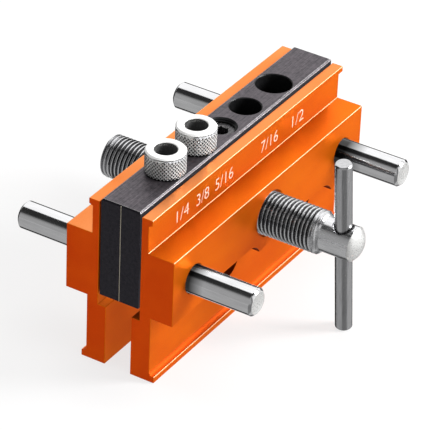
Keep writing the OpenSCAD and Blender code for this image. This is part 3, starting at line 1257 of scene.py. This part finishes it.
@dataclass
class GuideRods:
    """The two ground rods, each with a dished and chamfered end."""

    axes: Axes
    finishes: Finishes
    chamfer: float = 0.9 * MM
    rim: float = 0.55 * MM
    dish: tuple[float, float] = (0.12 * MM, 0.18 * MM)
    dish_rim: float = 0.77 * MM
    dish_middle: float = 0.1
    face_lean: float = 0.8
    edge_round: float = 0.1 * MM

    def build(self) -> None:
        """Builds both rods."""
        front_reach, rear_reach = self.axes.rod_reach
        steps = [(-z, r) for z, r in reversed(self.end_steps(rear_reach))] + self.end_steps(front_reach)
        near_rod = add_turned("guide_rod_near_body", steps)
        soften(near_rod, self.edge_round)
        finish_surface(near_rod)
        dress(near_rod, self.finishes.near_rod, self.finishes.turned_face)
        dress_faces(near_rod, 1, lambda p: abs(p.normal.z) > self.face_lean)
        place(near_rod, along_screw(-self.axes.rod_x, self.axes.height))
        far_rod = copy_of(near_rod, "guide_rod_far_body")
        far_rod.data.materials[0] = material_of(self.finishes.far_rod)
        place(far_rod, Matrix.Translation((2 * self.axes.rod_x, 0, 0)))
        settle(near_rod, "block", "polished_rod", "guide_rod_near")
        settle(far_rod, "block", "polished_rod", "guide_rod_far")

    def end_steps(self, end: float) -> Steps:
        """Gives the outline of a rod's dished end, as height and radius from the rim inwards."""
        radius = self.axes.rod_radius
        face = radius - self.chamfer
        return [(end - self.chamfer, radius), (end, face), (end, face - self.rim),
                (end - self.dish[0], face - self.dish_rim), (end - self.dish[1], face * self.dish_middle)]


@dataclass
class LeadScrew:
    """The screw with a right handed thread in front and a left handed one behind."""

    axes: Axes
    finishes: Finishes
    thread_depth: float = 0.85 * MM
    pitch: float = 1.5 * MM
    plain_half: float = 7.5 * MM
    groove: tuple[float, float] = (2.1 * MM, 5.8 * MM)
    front_reach: float = 42.4 * MM
    rear_chamfer: float = 0.3 * MM
    flank_lean: float = 0.5
    shank_radius: float = 6.1 * MM
    shank_end: float = 53.5 * MM
    overlap: float = 1.5 * MM
    front_land: float = 0.3 * MM
    bar_radius: float = 3.02 * MM
    bar_mouth: float = 0.35 * MM
    dome_steps: int = 10
    dome_tip: float = 0.2
    dome_round: float = 0.2 * MM
    middle_step: float = 0.01 * MM

    def build(self) -> None:
        """Builds the screw in one solid."""
        low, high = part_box("lead_screw")
        crest = self.axes.screw_radius
        root = crest - self.thread_depth
        inside = self.plain_half - self.overlap
        screw = self.core(-low.y)
        front = add_thread("front_thread", crest, root, self.pitch, (inside, self.front_reach))
        taper_end(front, self.front_reach, 1, self.shank_radius + self.front_land, crest + MM)
        rear = add_thread("rear_thread", crest, root, self.pitch, (-high.y, -inside), Hand.LEFT)
        taper_end(rear, -high.y, -1, crest - self.rear_chamfer, crest + MM)
        for thread in (front, rear):
            combine(screw, thread, "UNION")
        place(screw, along_screw(0, self.axes.height))
        combine(screw, self.bar_hole(), "DIFFERENCE")
        finish_surface(screw)
        dress(screw, self.finishes.screw, self.finishes.flank, self.finishes.turned_face)
        # Flanks that face the middle take painted shade.
        dress_faces(screw, 1, lambda p: p.normal.y * p.center.y < -self.flank_lean * abs(p.center.y)
                    and self.plain_half < abs(p.center.y) < self.front_reach - 2 * self.pitch)
        dress_faces(screw, 2, lambda p: p.center.y < -self.shank_end)
        settle(screw, "screw", "plated_screw", "lead_screw")

    def core(self, tip: float) -> Obj:
        """Turns the plain middle with its groove and the shank with its domed end.

        Args:
            tip: distance of the dome's top from the centre plane.

        Returns:
            The core that both threads are joined to.
        """
        radius, shank = self.axes.screw_radius + self.middle_step, self.shank_radius
        half_groove, groove_radius = self.groove
        height = tip - self.shank_end
        sphere = (shank ** 2 + height ** 2) / (2 * height)
        widest = math.asin(shank / sphere)
        steps = [(-self.plain_half, radius), (-half_groove, radius), (-half_groove, groove_radius),
                 (half_groove, groove_radius), (half_groove, radius), (self.plain_half, radius),
                 (self.plain_half, shank)]
        for step in range(self.dome_steps):
            angle = widest * (1 - step / self.dome_steps)
            steps.append((tip - sphere * (1 - math.cos(angle)), sphere * math.sin(angle)))
        steps.append((tip, sphere * math.sin(widest / self.dome_steps) * self.dome_tip))
        core = add_turned("lead_screw_body", steps)
        with editing(core):
            pick(core, "EDGE", lambda e: all(near(v.co.z, self.shank_end) for v in e.verts))
            bpy.ops.mesh.bevel(offset=self.dome_round, segments=3, profile=0.5, affect="EDGES")
        return core

    def bar_hole(self) -> Obj:
        """Makes the cutter of the hole for the turning bar, chamfered at both mouths.

        Returns:
            The cutter.
        """
        reach, wide = self.shank_radius, self.bar_radius + self.bar_mouth
        half = [(reach - self.bar_mouth, self.bar_radius), (reach + self.bar_mouth, wide + self.bar_mouth),
                (reach * 2, wide + self.bar_mouth)]
        return place(add_turned("bar_hole", both_ends(half)), bar_matrix(self.axes.height))


def bar_matrix(height: float) -> Matrix:
    """Gives the turning bar's place at rest, its length along its own Z.

    Args:
        height: height of the screw's axis.

    Returns:
        The matrix.
    """
    return (Matrix.Translation((0, BAR_Y, height)) @ Matrix.Rotation(-BAR_TURN, 4, "Y")
            @ Matrix.Translation((0, 0, -BAR_SHIFT)))


@dataclass
class TurningBar:
    """The plain bar through the screw's shank."""

    axes: Axes
    finishes: Finishes
    radius: float = 3.0 * MM
    half_length: float = 34.5 * MM
    chamfer: float = 0.5 * MM
    edge_round: float = 0.12 * MM

    def build(self) -> None:
        """Builds the bar."""
        half = [(self.half_length - self.chamfer, self.radius),
                (self.half_length, self.radius - self.chamfer)]
        bar = add_turned("turning_bar_body", both_ends(half), CUTTER_ROUND)
        soften(bar, self.edge_round)
        finish_surface(bar)
        dress(bar, self.finishes.bar)
        place(bar, bar_matrix(self.axes.height))
        settle(bar, "screw", "plated_bar", "turning_bar")


@dataclass
class Bushings:
    """The two screwed drill bushings with diamond knurled collars."""

    axes: Axes
    finishes: Finishes
    bore: float = 7.94 / 2 * MM
    collar: float = 6.93 * MM
    collar_height: float = 8.3 * MM
    foot: float = 0.25 * MM
    ring: float = 0.9 * MM
    chamfer: float = 0.5 * MM
    neck: tuple[float, float] = (0.2 * MM, 0.3 * MM)
    knurls_round: int = 36
    knurl_rows: int = 5
    knurl_land: float = 0.15 * MM
    knurl_depth: float = 0.35 * MM
    thread: tuple[float, float] = (6.0 * MM, 5.4 * MM)
    pitch: float = 1.5 * MM
    length: float = 19.5 * MM
    stem_chamfer: float = 0.2 * MM
    bore_rim: float = 0.25 * MM
    bore_round: int = 72
    recess: float = 0.09 * MM
    upright: float = 0.05 * MM

    def build(self) -> None:
        """Builds both bushings."""
        _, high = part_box("guide_block")
        first = self.collar_solid()
        stem = add_thread("stem", *self.thread, self.pitch, (-self.length, self.foot * 2))
        taper_end(stem, -self.length, -1, self.thread[1] - self.stem_chamfer, self.thread[0] + MM)
        combine(first, stem, "UNION")
        top, rim = self.collar_height, self.bore_rim
        bore = add_turned("bore_cutter", [
            (-self.length - MM, self.bore), (top - rim, self.bore), (top, self.bore + rim),
            (top + MM, self.bore + rim + MM)], self.bore_round)
        combine(first, bore, "DIFFERENCE")
        finish_surface(first)
        self.dress_places(first)
        place(first, Matrix.Translation((self.axes.bushing_x[0], 0, high.z)))
        second = copy_of(first, "bushing_far_body")
        place(second, Matrix.Translation((self.axes.bushing_x[1] - self.axes.bushing_x[0], 0, 0)))
        settle(first, "bushing_a", "hardened_bushing", "bushing_near")
        settle(second, "bushing_b", "hardened_bushing", "bushing_far")

    def dress_places(self, bushing: Obj) -> None:
        """Paints shade on the bore and in the knurl's cells, and highlight on the knurl's lands and the top.

        Args:
            bushing: the finished bushing, its collar standing on height 0.
        """
        finishes = self.finishes
        dress(bushing, finishes.bushing, finishes.drill_bore_shade, finishes.knurl_land, finishes.knurl_cell_shade,
              finishes.turned_top_highlight)
        knurl_top = self.collar_height - self.ring - self.neck[0]
        recess = self.collar - self.recess
        # The bore's wall takes painted shade.
        dress_faces(bushing, 1, lambda p: math.hypot(p.center.x, p.center.y) < self.bore + NEAR
                    and abs(p.normal.z) < LEANING)
        # Lands of the knurl take painted highlight.
        dress_faces(bushing, 2, lambda p: self.foot < p.center.z < knurl_top
                    and math.hypot(p.center.x, p.center.y) > recess)
        # Cells of the knurl take painted shade.
        dress_faces(bushing, 3, lambda p: 0 < p.center.z < knurl_top + self.neck[0] + TOLERANCE
                    and self.thread[0] < math.hypot(p.center.x, p.center.y) < recess)
        # The top and its chamfer take the near-white matt top: painted highlight.
        dress_faces(bushing, 4, lambda p: p.normal.z > LEANING
                    and p.center.z > self.collar_height - self.chamfer)

    def collar_solid(self) -> Obj:
        """Models the knurled collar, standing on height 0.

        Returns:
            The collar.
        """
        neck_height, neck_depth = self.neck
        low, high = self.foot, self.collar_height - self.ring - neck_height
        rows = [(low + (high - low) * row / self.knurl_rows, self.collar)
                for row in range(self.knurl_rows + 1)]
        steps = [(0, self.collar - self.foot), *rows,
                 (high, self.collar - neck_depth), (high + neck_height, self.collar - neck_depth),
                 (high + neck_height, self.collar), (self.collar_height - self.chamfer, self.collar),
                 (self.collar_height, self.collar - self.chamfer)]
        collar = add_turned("bushing_near_body", steps, self.knurls_round)
        bulge = self.collar * (1 - math.cos(math.pi / self.knurls_round))

        def in_band(height: float) -> bool:
            """Says whether a height lies in the knurled band."""
            return low < height < high

        def along_grid(edge: bmesh.types.BMEdge) -> bool:
            """Says whether an edge of the band runs level or upright."""
            run = edge.verts[0].co - edge.verts[1].co
            middle = (edge.verts[0].co.z + edge.verts[1].co.z) / 2
            return in_band(middle) and min(abs(run.z), math.hypot(run.x, run.y)) < self.upright

        with editing(collar):
            pick(collar, "FACE", lambda f: abs(f.normal.z) < UPRIGHT and in_band(f.calc_center_median().z))
            bpy.ops.mesh.poke(offset=bulge)
            pick(collar, "EDGE", along_grid)
            bpy.ops.mesh.dissolve_edges(use_verts=False)
            pick(collar, "FACE", lambda f: abs(f.normal.z) < LEANING and in_band(f.calc_center_median().z))
            bpy.ops.mesh.inset(thickness=self.knurl_land, use_individual=True)
            bpy.ops.mesh.poke(offset=-self.knurl_depth)
        return collar


@dataclass
class SocketScrews:
    """The keeper screw from above and the rods' set screws from below."""

    axes: Axes
    finishes: Finishes
    pitch: float = 1.0 * MM
    thread_depth: float = 0.45 * MM
    keeper_socket: float = 5.0 * MM
    tip_radius: float = 1.7 * MM
    keeper_clearance: float = 0.26 * MM
    rod_socket: float = 2.5 * MM
    socket_share: float = 1.1
    socket_floor: tuple[float, float, float] = (0.15, 0.08, 0.98)
    lead_tip: float = 0.05 * MM
    top_chamfer: float = 0.1 * MM
    end_chamfer: float = 0.3 * MM
    tip_share: float = 0.85
    level: float = 0.97

    def build(self) -> None:
        """Builds the keeper screw, and the two set screws as one piece."""
        self.keeper()
        self.set_screws()

    def screw(self, name: str, radius: float, span: tuple[float, float], socket: float) -> Obj:
        """Makes a headless screw with its socket on top.

        Args:
            name: the screw's name.
            radius: radius over the thread.
            span: lowest and highest height.
            socket: width across the flats of the socket.

        Returns:
            The screw.
        """
        root = radius - self.thread_depth
        screw = add_thread(name, radius, root, self.pitch, span)
        taper_end(screw, span[1], 1, root - self.top_chamfer, radius + MM)
        taper_end(screw, span[0], -1, root - self.end_chamfer, radius + MM)
        corner = socket / 2 / CORNER_SHARE
        floor = span[1] - socket * self.socket_share
        depth, tip, shoulder = self.socket_floor
        hexagon = add_turned("socket_cutter", [
            (floor - socket * depth, corner * tip), (floor, corner * shoulder), (floor, corner),
            (span[1] + MM, corner)], segments=6)
        lead = add_turned("lead_cutter", [(span[1] - corner, self.lead_tip), (span[1] + MM, corner + MM)],
                          SCREW_ROUND)
        for cutter in (hexagon, lead):
            combine(screw, cutter, "DIFFERENCE")
        return screw

    def keeper(self) -> None:
        """Builds the keeper screw."""
        low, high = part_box("keeper_screw")
        body = self.axes.height + self.axes.screw_radius + self.keeper_clearance
        screw = self.screw("keeper_screw_body", high.x, (body, high.z), self.keeper_socket)
        tip = add_turned("tip", [
            (low.z, self.tip_radius * self.tip_share), (low.z + self.end_chamfer, self.tip_radius),
            (body + MM, self.tip_radius)], SCREW_ROUND)
        combine(screw, tip, "UNION")
        finish_surface(screw)
        dress(screw, self.finishes.black_screw, self.finishes.oxide_edge_wear_and_highlight)
        # The keeper's top chamfer takes the pale edge finish: partly wear, partly a painted highlight ring.
        dress_faces(screw, 1, lambda p: LEANING < p.normal.z < self.level and p.center.z > high.z - MM)
        settle(screw, "block", "black_screw", "keeper_screw")

    def set_screws(self) -> None:
        """Builds the two set screws that hold the rods."""
        low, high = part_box("rod_set_screws")
        radius = high.x - self.axes.rod_x
        first = self.screw("rod_set_screws_body", radius, (-high.z, -low.z), self.rod_socket)
        finish_surface(first)
        dress(first, self.finishes.black_screw)
        place(first, Matrix.Translation((-self.axes.rod_x, 0, 0)) @ Matrix.Rotation(math.pi, 4, "X"))
        second = copy_of(first, "second_set_screw")
        place(second, Matrix.Translation((2 * self.axes.rod_x, 0, 0)))
        activate(first)
        second.select_set(True)
        bpy.ops.object.join()
        settle(first, "block", "black_screw", "rod_set_screws")


# Studio


@dataclass
class PhotoCamera:
    """The camera at the photograph's viewing angle."""

    azimuth: float = -59.217
    elevation: float = 32.876
    roll: float = 2.436
    distance: float = 1.0647
    lens: float = 265.77
    sensor: float = 36.0
    target: Point = (0, 0, 16.78 * MM)
    slide: tuple[float, float] = (-0.653 * MM, -12.648 * MM)
    clip: tuple[float, float] = (0.05, 20.0)

    def build(self) -> None:
        """Places the camera."""
        turn, lift, roll = (math.radians(a) for a in (self.azimuth, self.elevation, self.roll))
        back = Vector((math.sin(turn) * math.cos(lift), -math.cos(turn) * math.cos(lift), math.sin(lift)))
        right = (-back).cross(Vector((0, 0, 1))).normalized()
        up = right.cross(-back)
        standpoint = Vector(self.target) + back * self.distance + right * self.slide[0] + up * self.slide[1]
        rolled_right = right * math.cos(roll) + up * math.sin(roll)
        rolled_up = up * math.cos(roll) - right * math.sin(roll)
        matrix = Matrix((rolled_right, rolled_up, back)).transposed().to_4x4()
        matrix.translation = standpoint
        data = bpy.data.cameras.new("photo_camera")
        data.lens, data.sensor_width = self.lens, self.sensor
        data.clip_start, data.clip_end = self.clip
        camera = bpy.data.objects.new("photo_camera", data)
        bpy.context.scene.collection.objects.link(camera)
        camera.matrix_world = matrix
        bpy.context.scene.camera = camera


@dataclass
class Lamp:
    """One soft rectangular lamp that points at the jig."""

    name: str
    place: Point
    size: tuple[float, float]
    power: float
    aim: Point = (0, 0, 5 * MM)
    seen: bool = True

    def build(self) -> None:
        """Places the lamp."""
        data = bpy.data.lights.new(self.name, "AREA")
        data.shape = "RECTANGLE"
        data.size, data.size_y = self.size
        data.energy = self.power
        lamp = bpy.data.objects.new(self.name, data)
        bpy.context.scene.collection.objects.link(lamp)
        lamp.visible_glossy = self.seen
        lamp.location = self.place
        lamp.rotation_mode = "QUATERNION"
        lamp.rotation_quaternion = (Vector(self.place) - Vector(self.aim)).to_track_quat("Z", "Y")


@dataclass(frozen=True)
class Patch:
    """A soft bright field of the surroundings, as polished metal sees it, in degrees."""

    azimuth: float
    half_width: float
    rise: float
    half_height: float
    level: float
    softness: float = 4.0


@dataclass
class Studio:
    """Pale floor, white surroundings and soft lamps."""

    floor_z: float
    floor_size: float = 6.0
    floor_colour: Colour = (0.90, 0.90, 0.90)
    floor_glow: float = 0.75
    floor_roughness: float = 0.9
    floor_speckle: float = 0.99
    sky: float = 0.30
    darkest: float = 0.03
    patches: tuple[Patch, ...] = (
        Patch(35, 55, 39, 34, 1.25),
        Patch(198, 52, 30, 34, 0.38),
        Patch(-60, 42, 6, 30, 0.95),
        Patch(140, 46, -45, 42, 0.42),
        Patch(-140, 36, -45, 42, 0.20),
        Patch(25, 26, -38, 18, 0.72),
        Patch(-60, 42, -55, 30, 0.50),
    )
    lamps: tuple[Lamp, ...] = field(default_factory=lambda: (
        Lamp("side_lamp", (0.46, -0.72, 0.52), (0.34, 0.50), 13.5),
        Lamp("front_lamp", (-0.15, -0.85, 0.16), (0.50, 0.30), 1.7, seen=False),
        Lamp("top_lamp", (0.10, 0.20, 0.90), (0.60, 0.50), 3.9, seen=False),
    ))

    def build(self) -> None:
        """Builds floor, world and lamps, and sets the colour view."""
        bpy.context.scene.view_settings.view_transform = "Standard"
        self.floor()
        self.world()
        for lamp in self.lamps:
            lamp.build()

    def floor(self) -> None:
        """Lays the floor, white as the camera sees it, with the jig's shadow."""
        deselect()
        bpy.ops.mesh.primitive_plane_add(size=self.floor_size, location=(0, 0, self.floor_z))
        floor = bpy.context.active_object
        floor.name = "studio_floor"
        floor.visible_glossy = False
        shader = Shader("studio_floor")
        shader.set(Roughness=self.floor_roughness)
        speckle = shader.noise((40, 40, 40))
        pale = tuple(c * self.floor_speckle for c in self.floor_colour)
        shader.drive("Base Color", shader.blend(speckle, pale, self.floor_colour))
        path = shader.node("ShaderNodeLightPath")
        glow = shader.span(path.outputs["Is Camera Ray"], 0, self.floor_glow, 0, 1)
        emission = shader.node("ShaderNodeEmission")
        mix = shader.node("ShaderNodeMixShader")
        output = next(n for n in shader.tree.nodes if n.type == "OUTPUT_MATERIAL")
        shader.link(glow, mix.inputs[0])
        shader.link(shader.surface.outputs[0], mix.inputs[1])
        shader.link(emission.outputs[0], mix.inputs[2])
        shader.link(mix.outputs[0], output.inputs["Surface"])
        floor.data.materials.append(shader.material)

    def world(self) -> None:
        """Makes the surroundings white to the eye, even to matt faces and a studio to metal."""
        world = bpy.data.worlds.new("studio")
        world.use_nodes = True
        bpy.context.scene.world = world
        tree = world.node_tree
        background = next(n for n in tree.nodes if n.type == "BACKGROUND")
        background.inputs["Color"].default_value = (1, 1, 1, 1)
        path = tree.nodes.new("ShaderNodeLightPath")
        direct = maths(tree, "MAXIMUM", path.outputs["Is Camera Ray"],
                       path.outputs["Is Transmission Ray"])
        matt = maths(tree, "MULTIPLY_ADD", direct, 1 - self.sky, self.sky)
        mirrored: Socket | float = self.darkest
        for patch in self.patches:
            mirrored = maths(tree, "MULTIPLY_ADD", self.field(tree, patch), patch.level, mirrored)
        mix = tree.nodes.new("ShaderNodeMix")
        tree.links.new(path.outputs["Is Glossy Ray"], mix.inputs[0])
        tree.links.new(matt, mix.inputs[2])
        tree.links.new(mirrored, mix.inputs[3])
        tree.links.new(mix.outputs[0], background.inputs["Strength"])

    def field(self, tree: bpy.types.NodeTree, patch: Patch) -> Socket:
        """Gives 1 inside a patch of the sky and 0 outside it.

        Args:
            tree: the world's nodes.
            patch: the patch.

        Returns:
            The share.
        """
        direction = tree.nodes.new("ShaderNodeTexCoord").outputs["Generated"]
        turned = tree.nodes.new("ShaderNodeVectorRotate")
        turned.rotation_type = "Z_AXIS"
        turned.inputs["Angle"].default_value = math.radians(-patch.azimuth)
        tree.links.new(direction, turned.inputs["Vector"])
        split = tree.nodes.new("ShaderNodeSeparateXYZ")
        tree.links.new(turned.outputs[0], split.inputs[0])
        across = maths(tree, "ARCTAN2", split.outputs["Y"], split.outputs["X"])
        rise = maths(tree, "ARCSINE", split.outputs["Z"])
        share: Socket | float = 1.0
        for angle, middle, half in ((across, 0, patch.half_width), (rise, patch.rise, patch.half_height)):
            away = maths(tree, "ABSOLUTE", maths(tree, "SUBTRACT", angle, math.radians(middle)))
            edge = tree.nodes.new("ShaderNodeMapRange")
            edge.interpolation_type = "SMOOTHSTEP"
            edge.inputs["From Min"].default_value = math.radians(half + patch.softness)
            edge.inputs["From Max"].default_value = math.radians(half - patch.softness)
            tree.links.new(away, edge.inputs["Value"])
            share = maths(tree, "MULTIPLY", edge.outputs["Result"], share)
        return share


def main() -> None:
    """Builds the jig, the studio and the camera, and reports each piece."""
    logging.basicConfig(level=logging.INFO, format="%(message)s")
    PhotoCamera().build()
    axes = Axes.from_frame()
    finishes = Finishes(screw=ThreadedSteel("plated_thread", axes.height, axes.screw_radius))
    assemblies = (
        GuideBlock(axes, finishes), Jaw(axes, finishes), SizeMarks(finishes), GuideRods(axes, finishes),
        LeadScrew(axes, finishes), TurningBar(axes, finishes), Bushings(axes, finishes),
        SocketScrews(axes, finishes),
    )
    for assembly in assemblies:
        assembly.build()
    Studio(floor_z=cad_box[0].z).build()


if __name__ == "__main__":
    main()
